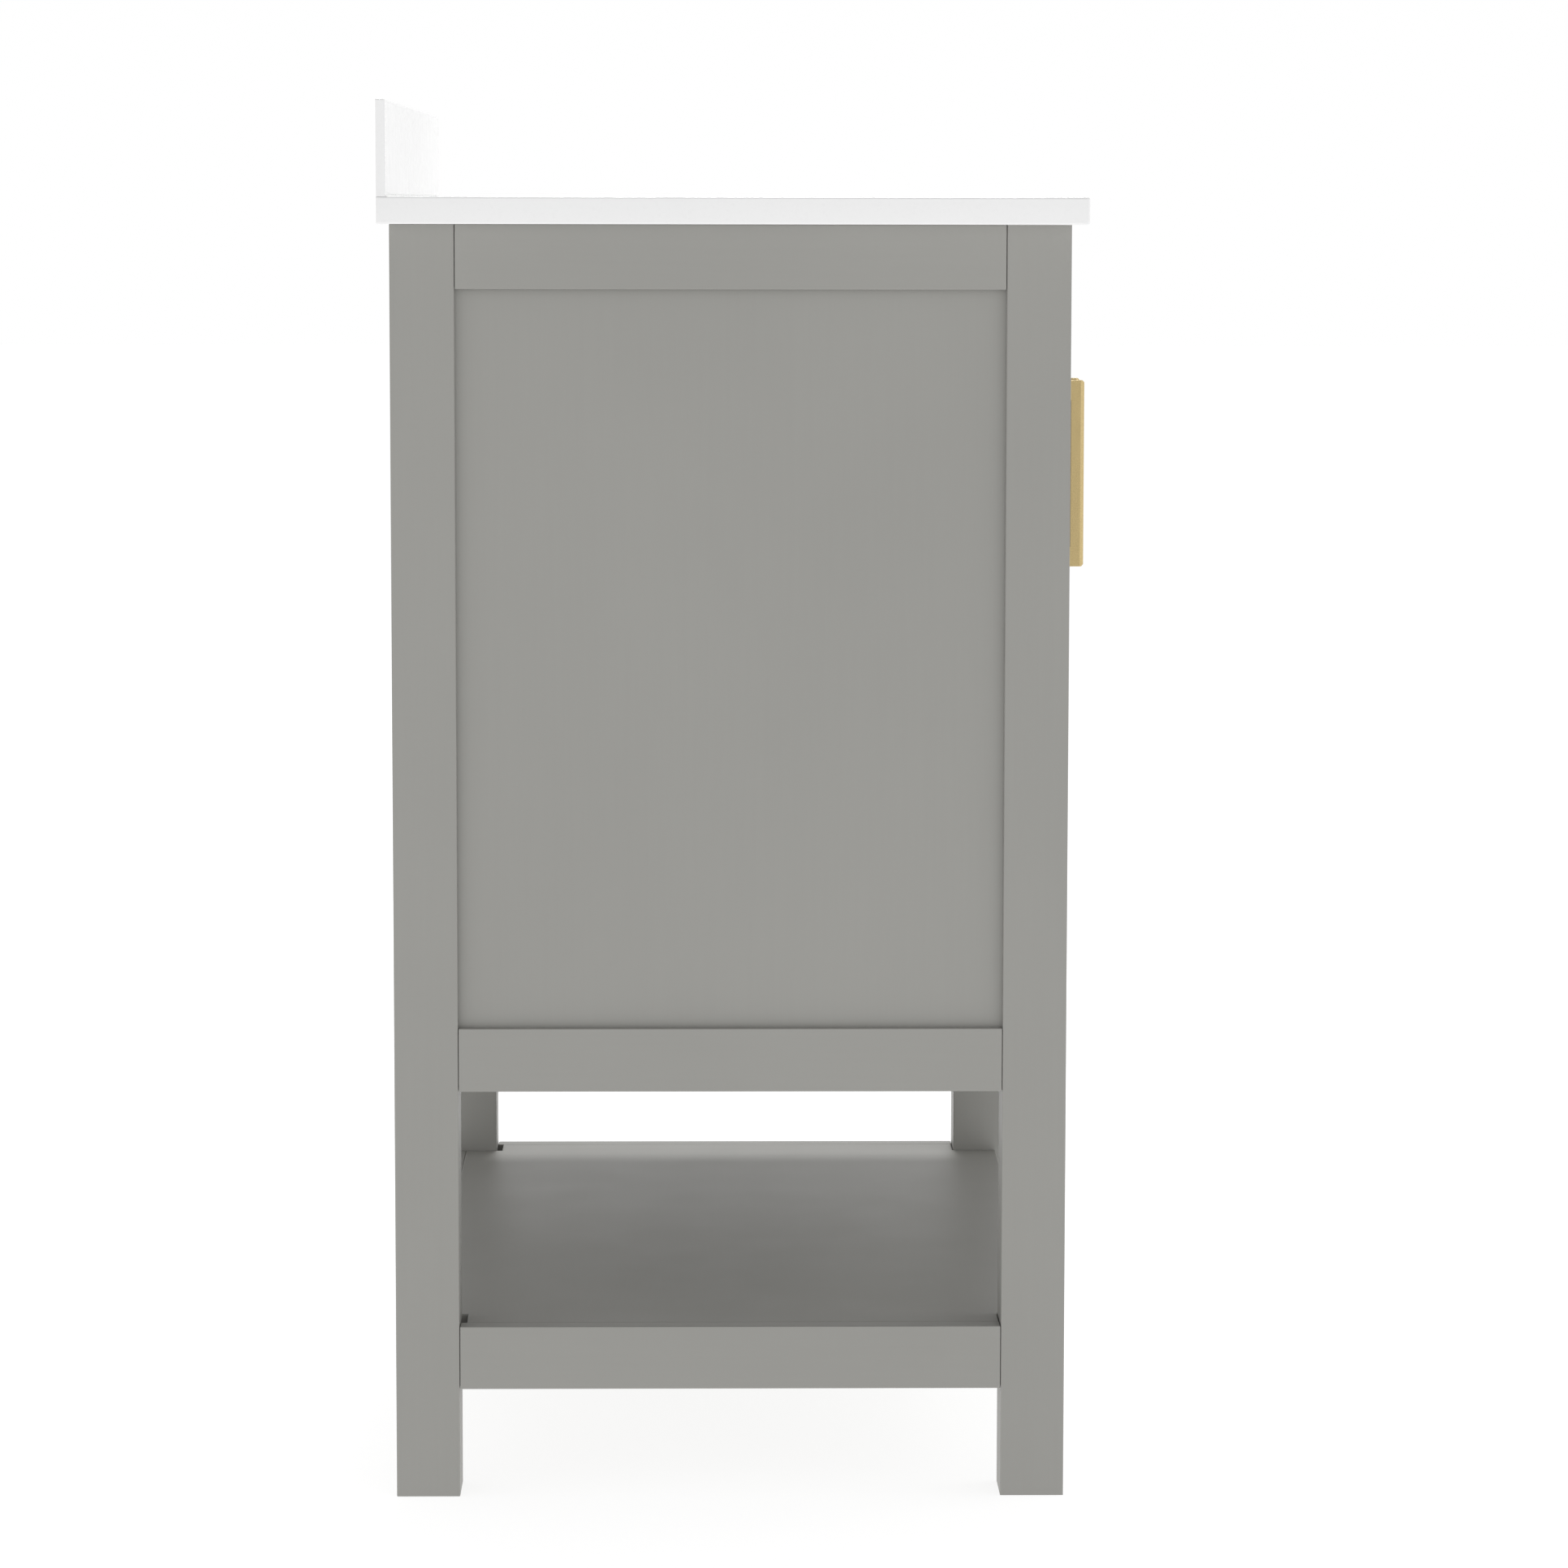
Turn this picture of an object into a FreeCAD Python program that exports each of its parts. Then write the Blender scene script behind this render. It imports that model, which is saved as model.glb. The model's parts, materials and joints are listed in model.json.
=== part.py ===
import FreeCAD, Part
import math
import os
import re

# Bathroom vanity cabinet: square-legged frame, panelled sides, two inset doors, open shelf,
# stone top with backsplash and an undermount basin. Millimetres; X is the width, the doors face -Y,
# Z is up, and the origin is at the middle of the footprint, on the floor.

Vector = FreeCAD.Vector
doc = FreeCAD.newDocument("vanity_cabinet")

# ---------------------------------------------------------------- sizes
SIZES = {
    # frame
    "half_width": 370, "front_face": -219, "back_face": 245, "frame_top": 881,
    "leg_side": 44, "edge_round": 0.8,
    "rail_tall": 44, "side_rail_thick": 15, "cross_rail_thick": 19,
    "middle_rail_low": 285, "bottom_rail_low": 76,
    "back_rail_tall": 100, "wall_hole_spread": 406, "wall_hole_radius": 3,
    "seam": 0.4, "tenon_long": 18, "tenon_thick": 7, "tenon_shoulder": 6,
    # side panels
    "panel_thick": 6, "panel_recess": 6, "groove_deep": 6, "groove_play": 0.4,
    # boards
    "floor_thick": 15, "shelf_thick": 18, "shelf_setback": 9.5, "notch_play": 4.4,
    "back_panel_thick": 5, "back_panel_top": 800,
    "plumbing_half_width": 200, "plumbing_low": 440, "plumbing_high": 690,
    # top
    "top_half_width": 381, "top_front": -230.5, "top_back": 253, "top_thick": 18.5,
    "top_edge_round": 1.5, "splash_thick": 6.3, "splash_tall": 65.5,
    # basin
    "bowl_half_width": 215, "bowl_half_depth": 150, "bowl_middle": -12, "bowl_corner": 62,
    "bowl_deep": 132, "bowl_wall": 8, "bowl_lip": 4, "basin_flange": 24,
    "basin_flange_thick": 8, "bowl_taper": 22, "drain_radius": 22.5, "drain_seat": 12,
    "faucet_hole_radius": 17.5, "faucet_back": 64,
    # doors
    "door_gap": 3, "door_thick": 19, "door_frame_wide": 44, "door_tongue": 5,
    "door_panel_recess": 6.5, "door_panel_thick": 6,
    # handles
    "handle_wide": 10, "handle_tall": 139, "handle_stand": 34, "handle_bar_deep": 10,
    "handle_post_tall": 11, "handle_inner_round": 5.5, "handle_front_cut": 2.7,
    "handle_end_cut": 1.5, "handle_low": 625.5, "handle_inset": 23.5,
    "handle_screw_radius": 2, "handle_screw_long": 32,
    # hinges, measured from the leg's inner face (across) and from the front plane (deep)
    "hinge_low": 412, "hinge_high": 754, "arm_pin_across": 21, "arm_pin_deep": 24,
    "cup_pin_across": 29, "cup_pin_deep": 12, "elbow_across": 48.5, "elbow_deep": 36,
    "cup_across": 24, "cup_radius": 17.5, "cup_deep": 11.5, "cup_wall": 1,
    "flange_thick": 0.8, "pin_radius": 1.5, "pin_play": 0.05, "link_half": 2.8,
    "second_link_reach": 5, "plate_low": 5.4, "plate_thick": 2, "ear_low": 7.8,
    # small fittings
    "block_side": 36, "block_tall": 30, "screw_radius": 2, "screw_head_radius": 4,
    "screw_head_tall": 2.5, "screw_bite": 12, "bumper_radius": 4, "bumper_gap": 0.3,
}

sheet = doc.addObject("Spreadsheet::Sheet", "dims")
for row, (name, value) in enumerate(SIZES.items(), start=1):
    sheet.set(f"A{row}", name)
    sheet.set(f"B{row}", str(value))
    sheet.setAlias(f"B{row}", name)
doc.recompute()

nodes = []


def size(name):
    """The sheet's value of one size."""
    return float(sheet.get(name))


def link(text):
    """An expression with its bare size names pointed at the sheet."""
    return re.sub(r"[a-z][a-z_]+", lambda found: "dims." + found.group(0), text)


def node(obj, label):
    """Marks an object as one finished sub-part."""
    obj.Label = label
    nodes.append(obj)
    return obj


def board(name, across, deep, tall):
    """A rectangular piece between two planes on each axis, given as expressions."""
    piece = doc.addObject("Part::Box", name)
    spans = (("Length", "x", across), ("Width", "y", deep), ("Height", "z", tall))
    for prop, axis, (low, high) in spans:
        piece.setExpression(prop, link(f"({high}) - ({low})"))
        piece.setExpression(f"Placement.Base.{axis}", link(low))
    return piece


def cylinder(name, radius, length, centre, direction):
    """A round tool or piece; the axis starts at centre and runs along direction."""
    piece = doc.addObject("Part::Cylinder", name)
    piece.setExpression("Radius", link(radius))
    piece.setExpression("Height", link(length))
    turn = FreeCAD.Rotation(Vector(0, 0, 1), Vector(*direction))
    piece.Placement = FreeCAD.Placement(Vector(0, 0, 0), turn)
    for axis, value in zip("xyz", centre):
        piece.setExpression(f"Placement.Base.{axis}", link(value))
    return piece


def joined(name, pieces):
    """Several pieces fused into one, or kept as one set where they don't touch."""
    whole = doc.addObject("Part::MultiFuse", name)
    whole.Shapes = pieces
    return whole


def cut(name, base, *tools):
    """The base piece with each tool taken out of it."""
    for count, tool in enumerate(tools):
        last = count == len(tools) - 1
        result = doc.addObject("Part::Cut", name if last else f"{name}_step_{count}")
        result.Base = base
        result.Tool = tool
        base = result
    return base


def rounded(name, base, radius, keep, kind="Part::Fillet"):
    """The base piece with every edge that keep(edge) accepts rounded or chamfered."""
    doc.recompute()
    chosen = [
        (number, radius, radius)
        for number, edge in enumerate(base.Shape.Edges, start=1)
        if keep(edge)
    ]
    result = doc.addObject(kind, name)
    result.Base = base
    result.Edges = chosen
    return result


def runs_along(axis):
    """Accepts straight edges parallel to one axis (0 = X, 1 = Y, 2 = Z)."""
    def test(edge):
        if not isinstance(edge.Curve, Part.Line):
            return False
        return abs(abs(edge.Curve.Direction[axis]) - 1) < 1e-6
    return test


def mirrored(span, side):
    """A left-hand span along X, or its mirror image for the right."""
    low, high = span
    return span if side == "left" else (f"-({high})", f"-({low})")


tenons = {}


def tenoned_rail(name, run, across, deep, tall):
    """A rail between two legs, a seam short of them, with a tenon let into each one.

    run is "y" for a side rail and "x" for a rail across the cabinet. Side rails keep their
    tenons near the outer face, so that they clear the tenons of the cross rails.
    """
    low, high = deep if run == "y" else across
    body_span = (f"{low} + seam", f"{high} - seam")
    if run == "y":
        body = board(f"{name}_body", across, body_span, tall)
        outer = across[0] if "left" in name else f"{across[1]} - 11"
        side_span = (f"{outer} + 4", f"{outer} + 4 + tenon_thick")
        if "right" in name:
            side_span = (outer, f"{outer} + tenon_thick")
    else:
        body = board(f"{name}_body", body_span, deep, tall)
        side_span = (f"{deep[0]} + tenon_shoulder", f"{deep[0]} + tenon_shoulder + tenon_thick")
    height = (f"{tall[0]} + tenon_shoulder", f"{tall[1]} - tenon_shoulder")
    ends = (("low", (f"{low} - tenon_long", f"{low} + seam")),
            ("high", (f"{high} - seam", f"{high} + tenon_long")))
    pieces = []
    for end, span in ends:
        spans = (side_span, span) if run == "y" else (span, side_span)
        pieces.append(board(f"{name}_tenon_{end}", *spans, height))
    body = rounded(f"{name}_eased", body, size("edge_round"), runs_along(1 if run == "y" else 0))
    tenons[name] = pieces
    return joined(f"{name}_joined", [body, *pieces])


def computed(name, shape):
    """A piece whose outline neither a primitive nor a boolean gives directly."""
    piece = doc.addObject("Part::Feature", name)
    piece.Shape = shape
    return piece


# ---------------------------------------------------------------- hinge outlines
# Each hinge turns the door about the line in its own gap. The first link turns with the door
# on the arm's pin, the second keeps its direction, and both meet at the elbow.

def hinge_point(across, deep):
    """A point of the left-hand hinge in plan."""
    return Vector(-size("half_width") + size("leg_side") + across, size("front_face") + deep, 0)


def disc(centre, radius, low, high):
    """An upright round pin or boss."""
    foot = centre + Vector(0, 0, low)
    return Part.makeCylinder(radius, high - low, foot)


def strap(first, second, half, low, high):
    """A flat bar with round ends between two pin centres."""
    along = (second - first).normalize()
    aside = Vector(-along.y, along.x, 0) * half
    corners = [first + aside, second + aside, second - aside, first - aside]
    outline = Part.makePolygon([*corners, corners[0]])
    bar = Part.Face(outline).extrude(Vector(0, 0, high - low))
    bar.translate(Vector(0, 0, low))
    return bar.fuse([disc(first, half, low, high), disc(second, half, low, high)]).removeSplitter()


def slab(low, high):
    """A block between two opposite corners."""
    span = high - low
    return Part.makeBox(span.x, span.y, span.z, low)


def countersunk(head_face, direction, long):
    """A countersunk wood screw whose flat head ends at head_face."""
    radius = size("screw_radius") - 0.5
    head = Part.makeCone(3.2, radius, 2.2, head_face, direction)
    shank = Part.makeCylinder(radius, long, head_face, direction)
    tip = Part.makeCone(radius, 0.3, 2.5, head_face + direction * long, direction)
    return head.fuse([shank, tip]).removeSplitter()


def hinge_shapes():
    """The five solids of one left-hand hinge, centred on height zero."""
    arm_pin = hinge_point(size("arm_pin_across"), size("arm_pin_deep"))
    cup_pin = hinge_point(size("cup_pin_across"), size("cup_pin_deep"))
    elbow = hinge_point(size("elbow_across"), size("elbow_deep"))
    cup_middle = hinge_point(size("cup_across"), size("door_thick"))
    pin = size("pin_radius")
    bore = pin + size("pin_play")
    half = size("link_half")

    # arm: plate on the leg, two ears out to the pin
    plate = slab(hinge_point(0, 21.5) + Vector(0, 0, -17), hinge_point(3, 43) + Vector(0, 0, 17))
    arm = plate
    thick = size("plate_thick")
    ear_end = size("ear_low") + thick
    for low in (-ear_end, size("ear_low")):
        ear_foot = hinge_point(3, 26)
        web = slab(
            hinge_point(0, 21.5) + Vector(0, 0, low),
            hinge_point(8, 36) + Vector(0, 0, low + thick),
        )
        arm = arm.fuse([strap(ear_foot, arm_pin, half, low, low + thick), web])
    arm = arm.fuse(disc(arm_pin, pin, -ear_end, ear_end)).removeSplitter()

    # first link: two plates on the arm's pin, joined by the elbow pin
    plate_end = size("plate_low") + thick
    first = disc(elbow, pin, -plate_end, plate_end)
    for low in (-plate_end, size("plate_low")):
        plate_bar = strap(arm_pin, elbow, half, low, low + thick)
        first = first.fuse(plate_bar.cut(disc(arm_pin, bore, low - 1, low + thick + 1)))
    first = first.removeSplitter()

    # second link: one thick bar from the cup's pin to the elbow pin
    reach = size("second_link_reach")
    second = strap(cup_pin, elbow, half, -reach, reach)
    for centre in (cup_pin, elbow):
        second = second.cut(disc(centre, bore, -reach - 1, reach + 1))

    # cup: pressed steel pot with a flange, and its pin across the inside
    backward = Vector(0, 1, 0)
    foot = cup_middle - backward * size("cup_deep")
    lid = size("flange_thick")
    radius = size("cup_radius")
    pot = Part.makeCylinder(radius, size("cup_deep") + lid, foot, backward)
    ring = Part.makeCylinder(radius + 1.7, lid, cup_middle, backward)
    wing_low = hinge_point(size("cup_across") - 6, size("door_thick")) - Vector(0, 0, 27)
    wing_high = hinge_point(size("cup_across") + 6, size("door_thick") + lid) + Vector(0, 0, 27)
    inside = Part.makeCylinder(
        radius - size("cup_wall"), size("cup_deep") + lid,
        foot + backward * size("cup_wall"), backward,
    )
    cup = pot.fuse([ring, slab(wing_low, wing_high)]).cut(inside)
    cup = cup.fuse(disc(cup_pin, pin, -15.6, 15.6)).removeSplitter()

    arm_screws = [
        countersunk(hinge_point(3, deep) + Vector(0, 0, height), Vector(-1, 0, 0), 14)
        for deep, height in ((39, -8), (39, 8))
    ]
    cup_screws = [
        countersunk(cup_middle + Vector(0, lid, height), Vector(0, -1, 0), 13)
        for height in (-22.5, 22.5)
    ]
    for screw in arm_screws:
        arm = arm.cut(screw)
    for screw in cup_screws:
        cup = cup.cut(screw)
    return {
        "hinge_arms": [arm], "hinge_first_links": [first], "hinge_second_links": [second],
        "hinge_cups": [cup], "hinge_arm_screws": arm_screws, "hinge_cup_screws": cup_screws,
    }


hinge_solids = hinge_shapes()
hinge_parts = {}
for side in ("left", "right"):
    for kind, solids in hinge_solids.items():
        placed = []
        for level in ("hinge_low", "hinge_high"):
            for solid in solids:
                copy = solid.copy()
                if side == "right":
                    copy = copy.mirror(Vector(0, 0, 0), Vector(1, 0, 0))
                copy.translate(Vector(0, 0, size(level)))
                placed.append(copy)
        part = computed(f"{kind}_{side}", Part.makeCompound(placed))
        hinge_parts[kind, side] = node(part, f"{kind}_{side}")

# ---------------------------------------------------------------- legs, side rails, side panels
leg_inner = "-half_width + leg_side"
leg_across = ("-half_width", leg_inner)
leg_deep = {
    "front": ("front_face", "front_face + leg_side"),
    "rear": ("back_face - leg_side", "back_face"),
}
between_legs = ("front_face + leg_side", "back_face - leg_side")
between_sides = (leg_inner, f"-({leg_inner})")
panel_outer = "-half_width + panel_recess"
leg_blanks = {}
panels = {}
grooves = {}

for side in ("left", "right"):
    panel_across = mirrored((panel_outer, f"{panel_outer} + panel_thick"), side)
    groove_across = mirrored(
        (f"{panel_outer} - groove_play", f"{panel_outer} + panel_thick"), side)
    panel_deep = ("front_face + leg_side - groove_deep", "back_face - leg_side + groove_deep")
    panel_tall = ("middle_rail_low + rail_tall - groove_deep",
                  "frame_top - rail_tall + groove_deep")
    name = f"side_panel_{side}"
    panels[side] = node(board(name, panel_across, panel_deep, panel_tall), name)
    grooves[side] = board(f"panel_groove_{side}", groove_across, panel_deep, panel_tall)

    rail_across = mirrored(("-half_width", "-half_width + side_rail_thick"), side)
    levels = {
        "top": "frame_top - rail_tall",
        "middle": "middle_rail_low",
        "bottom": "bottom_rail_low",
    }
    for level, low in levels.items():
        name = f"side_rail_{level}_{side}"
        rail = tenoned_rail(name, "y", rail_across, between_legs, (low, f"{low} + rail_tall"))
        if level == "bottom":
            node(rail, name)
        else:
            node(cut(name, rail, grooves[side]), name)

# ---------------------------------------------------------------- cross rails
front_deep = ("front_face", "front_face + cross_rail_thick")
back_deep = ("back_face - cross_rail_thick", "back_face")
shelf_low = "bottom_rail_low + rail_tall - shelf_thick"
shelf_front = "front_face + shelf_setback"
middle_tall = ("middle_rail_low", "middle_rail_low + rail_tall")
CROSS_RAILS = {
    "front_rail_top": (front_deep, ("frame_top - rail_tall", "frame_top")),
    "front_rail_middle": (front_deep, middle_tall),
    "back_rail_top": (back_deep, ("frame_top - back_rail_tall", "frame_top")),
    "back_rail_middle": (back_deep, middle_tall),
    "shelf_rail_back": (back_deep, ("bottom_rail_low", "bottom_rail_low + rail_tall")),
    "shelf_rail_front": ((shelf_front, f"{shelf_front} + cross_rail_thick"),
                         ("bottom_rail_low", shelf_low)),
}
wall_holes = [
    cylinder(f"wall_hole_{side}", "wall_hole_radius", "cross_rail_thick + 20",
             (f"{sign} * wall_hole_spread / 2", "back_face - cross_rail_thick - 10",
              "frame_top - back_rail_tall / 2"), (0, 1, 0))
    for side, sign in (("left", "-1"), ("right", "1"))
]
for name, (deep, tall) in CROSS_RAILS.items():
    rail = tenoned_rail(name, "x", between_sides, deep, tall)
    if name == "back_rail_top":
        rail = cut(name, rail, *wall_holes)
    node(rail, name)

# ---------------------------------------------------------------- legs
for side in ("left", "right"):
    for place, deep in leg_deep.items():
        name = f"leg_{place}_{side}"
        blank = board(f"{name}_blank", mirrored(leg_across, side), deep, ("0", "frame_top"))
        leg_blanks[place, side] = blank
        eased = rounded(f"{name}_eased", blank, size("edge_round"), runs_along(2))
        tools = [grooves[side]]
        depth_end = "low" if place == "front" else "high"
        width_end = "low" if side == "left" else "high"
        for rail, (low_end, high_end) in tenons.items():
            along_side = rail.startswith("side_rail")
            if along_side and rail.endswith(side):
                tools.append(low_end if depth_end == "low" else high_end)
            if not along_side and (place == "front") == ("front" in rail):
                tools.append(low_end if width_end == "low" else high_end)
        if place == "front":
            tools.append(hinge_parts["hinge_arm_screws", side])
        node(cut(name, eased, *tools), name)

# ---------------------------------------------------------------- floor, shelf, back panel
inside_width = ("-half_width + side_rail_thick", "half_width - side_rail_thick")
inside_back = "back_face - cross_rail_thick"
cabinet_floor = "middle_rail_low + rail_tall"
floor_blank = board("cabinet_floor_blank", inside_width,
                    ("front_face + cross_rail_thick", inside_back),
                    (f"{cabinet_floor} - floor_thick", cabinet_floor))
node(cut("cabinet_floor", floor_blank, *leg_blanks.values()), "cabinet_floor")

shelf_top = "bottom_rail_low + rail_tall"
shelf_blank = board("shelf_blank", inside_width, (shelf_front, inside_back),
                    (shelf_low, shelf_top))
notches = []
for side in ("left", "right"):
    notch_across = mirrored(("-half_width", leg_inner), side)
    notches.append(board(f"shelf_notch_front_{side}", notch_across,
                         ("front_face - 10", "front_face + leg_side + 0.5"),
                         ("bottom_rail_low", "frame_top")))
    notches.append(board(f"shelf_notch_rear_{side}", notch_across,
                         ("back_face - leg_side - notch_play", "back_face + 10"),
                         ("bottom_rail_low", "frame_top")))
node(cut("shelf", shelf_blank, *notches), "shelf")

back_blank = board("back_panel_blank", between_sides,
                   (f"{inside_back} - back_panel_thick", inside_back),
                   (cabinet_floor, "back_panel_top"))
plumbing_hole = board("plumbing_hole", ("-plumbing_half_width", "plumbing_half_width"),
                      (f"{inside_back} - 30", f"{inside_back} + 30"),
                      ("plumbing_low", "plumbing_high"))
plumbing_hole = rounded("plumbing_hole_round", plumbing_hole, 20, runs_along(1))
node(cut("back_panel", back_blank, plumbing_hole), "back_panel")

# ---------------------------------------------------------------- basin
def rounded_outline(half_across, half_deep, corner, height):
    """A closed rounded rectangle around the bowl's middle at one height."""
    middle = size("bowl_middle")
    low = Vector(-half_across, middle - half_deep, height)
    plate = Part.makeBox(2 * half_across, 2 * half_deep, 1, low)
    upright = [edge for edge in plate.Edges if runs_along(2)(edge)]
    plate = plate.makeFillet(corner, upright)
    return min(plate.Faces, key=lambda face: face.CenterOfMass.z).OuterWire


def tub(grow, top, bottom):
    """A tapering bowl-shaped solid, grown outwards by one wall thickness or by none."""
    wide = size("bowl_half_width") + size("bowl_lip") + grow
    deep = size("bowl_half_depth") + size("bowl_lip") + grow
    corner = size("bowl_corner") + grow
    taper = size("bowl_taper")
    outlines = [
        rounded_outline(wide, deep, corner, top),
        rounded_outline(wide - taper, deep - taper, corner - taper / 3, bottom),
    ]
    solid = Part.makeLoft(outlines, True, True)
    foot = [edge for edge in solid.Edges if abs(edge.CenterOfMass.z - bottom) < 0.01]
    return solid.makeFillet(26 + grow, foot)


underside = size("frame_top")
inner_floor = underside - size("bowl_deep")
flange_half_width = size("bowl_half_width") + size("basin_flange")
flange_half_depth = size("bowl_half_depth") + size("basin_flange")
flange = Part.Face(rounded_outline(
    flange_half_width, flange_half_depth, size("bowl_corner") + 20,
    underside - size("basin_flange_thick"),
)).extrude(Vector(0, 0, size("basin_flange_thick")))
bowl_outside = tub(size("bowl_wall"), underside, inner_floor - size("bowl_wall"))
drain_middle = Vector(0, size("bowl_middle") + 20, 0)
seat_low = inner_floor - size("drain_seat")
drain_boss = Part.makeCylinder(size("drain_radius") + 12, size("drain_seat"),
                               drain_middle + Vector(0, 0, seat_low))
drain_hole = Part.makeCylinder(size("drain_radius"), 60,
                               drain_middle + Vector(0, 0, seat_low - 20))
overflow_high = underside - 32
overflow_deep = size("bowl_middle") + size("bowl_half_depth") - 30
overflow = Part.makeBox(20, 60, 8, Vector(-10, overflow_deep, overflow_high - 4))
for end in (-10, 10):
    overflow = overflow.fuse(
        Part.makeCylinder(4, 60, Vector(end, overflow_deep, overflow_high), Vector(0, 1, 0)))
basin_shape = bowl_outside.fuse([flange, drain_boss])
basin_shape = basin_shape.cut(tub(0, underside, inner_floor)).cut(drain_hole).cut(overflow)
basin = node(computed("basin", basin_shape.removeSplitter()), "basin")

# ---------------------------------------------------------------- corner blocks and fixings
block_blanks = []
block_screws = []
clip_blanks = []
clip_screws = []
for side, sign in (("left", -1), ("right", 1)):
    for place in ("front", "rear"):
        if place == "front":
            deep = ("front_face + cross_rail_thick", "front_face + cross_rail_thick + block_side")
            middle = size("front_face") + size("cross_rail_thick") + size("block_side") / 2
        else:
            deep = (f"{inside_back} - block_side", inside_back)
            middle = size("back_face") - size("cross_rail_thick") - size("block_side") / 2
        block_blanks.append(board(
            f"block_{place}_{side}", mirrored((leg_inner, f"{leg_inner} + block_side"), side),
            deep, ("frame_top - block_tall", "frame_top")))
        across = sign * (size("half_width") - size("leg_side") - size("block_side") / 2)
        foot = Vector(across, middle, size("frame_top") - size("block_tall"))
        block_screws.append((foot, size("block_tall") + size("screw_bite")))

        clip_middle = size("bowl_middle") + (-80 if place == "front" else 80)
        under = size("frame_top") - size("basin_flange_thick")
        edge = flange_half_width
        grip = Part.makeBox(32, 16, 4, Vector(edge - 10, clip_middle - 8, under - 4))
        foot_pad = Part.makeBox(20, 16, size("basin_flange_thick"),
                                Vector(edge + 2, clip_middle - 8, under))
        clip = grip.fuse(foot_pad).removeSplitter()
        if side == "left":
            clip = clip.mirror(Vector(0, 0, 0), Vector(1, 0, 0))
        clip_blanks.append(clip)
        clip_screws.append((Vector(sign * (edge + 12), clip_middle, under - 4),
                            size("basin_flange_thick") + 4 + size("screw_bite")))


def round_head_screw(foot, bite):
    """A pan-head screw driven straight up, its head seated on the face at foot."""
    up = Vector(0, 0, 1)
    head_tall = size("screw_head_tall")
    head = Part.makeCylinder(size("screw_head_radius"), head_tall, foot - up * head_tall)
    lower = [e for e in head.Edges if abs(e.CenterOfMass.z - (foot.z - head_tall)) < 0.01]
    head = head.makeFillet(1.2, lower[:1])
    shank = Part.makeCylinder(size("screw_radius"), bite, foot)
    return head.fuse(shank).removeSplitter()


block_screw_set = node(computed(
    "block_screws", Part.makeCompound([round_head_screw(*spot) for spot in block_screws])),
    "block_screws")
clip_screw_set = node(computed(
    "clip_screws", Part.makeCompound([round_head_screw(*spot) for spot in clip_screws])),
    "clip_screws")
clip_set = computed("basin_clips_blank", Part.makeCompound(clip_blanks))
node(cut("basin_clips", clip_set, clip_screw_set), "basin_clips")
node(cut("corner_blocks", joined("corner_blocks_blank", block_blanks), block_screw_set),
     "corner_blocks")

# ---------------------------------------------------------------- countertop and backsplash
top_blank = board("countertop_blank", ("-top_half_width", "top_half_width"),
                  ("top_front", "top_back"), ("frame_top", "frame_top + top_thick"))


def top_rim(edge):
    """The slab's outer edges, except the one hidden under the backsplash."""
    return edge.CenterOfMass.y < size("top_back") - 1


eased_top = rounded("countertop_eased", top_blank, size("top_edge_round"), top_rim)
bowl_cut = board("bowl_cut", ("-bowl_half_width", "bowl_half_width"),
                 ("bowl_middle - bowl_half_depth", "bowl_middle + bowl_half_depth"),
                 ("frame_top - 20", "frame_top + top_thick + 20"))
bowl_cut = rounded("bowl_cut_round", bowl_cut, size("bowl_corner"), runs_along(2))
faucet_hole = cylinder("faucet_hole", "faucet_hole_radius", "top_thick + 40",
                       ("0", "top_back - faucet_back", "frame_top - 20"), (0, 0, 1))
node(cut("countertop", eased_top, bowl_cut, faucet_hole, block_screw_set, clip_screw_set),
     "countertop")

splash = board("backsplash_blank", ("-top_half_width", "top_half_width"),
               ("top_back - splash_thick", "top_back"),
               ("frame_top + top_thick", "frame_top + top_thick + splash_tall"))
splash_top = size("frame_top") + size("top_thick") + size("splash_tall")


def splash_rim(edge):
    """The backsplash's upper front edge and its two upper ends."""
    middle = edge.CenterOfMass
    return middle.z > splash_top - 1 and middle.y < size("top_back") - 1


node(rounded("backsplash", splash, 1, splash_rim), "backsplash")

# ---------------------------------------------------------------- door stop
stop_deep = "front_face + cross_rail_thick"
stop_blank = board("door_stop_blank", ("-280", "280"), (stop_deep, f"{stop_deep} + 12"),
                   ("frame_top - rail_tall - 15", "frame_top - rail_tall + 18"))
stop_step = board("door_stop_step", ("-290", "290"), (f"{stop_deep} - 1", f"{stop_deep} + 2"),
                  ("frame_top - rail_tall - 20", "frame_top - rail_tall"))
node(cut("door_stop", stop_blank, stop_step), "door_stop")
bumpers = [
    cylinder(f"bumper_{number}", "bumper_radius", "2 - bumper_gap",
             (str(across), f"{stop_deep} + bumper_gap", "frame_top - rail_tall - 7.5"), (0, 1, 0))
    for number, across in enumerate((-250, -20, 20, 250), start=1)
]
node(joined("door_bumpers", bumpers), "door_bumpers")

# ---------------------------------------------------------------- doors
door_low = f"{cabinet_floor} + door_gap"
door_high = "frame_top - rail_tall - door_gap"
door_outer = f"{leg_inner} + door_gap"
door_inner = "-door_gap / 2"
door_deep = ("front_face", "front_face + door_thick")

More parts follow.
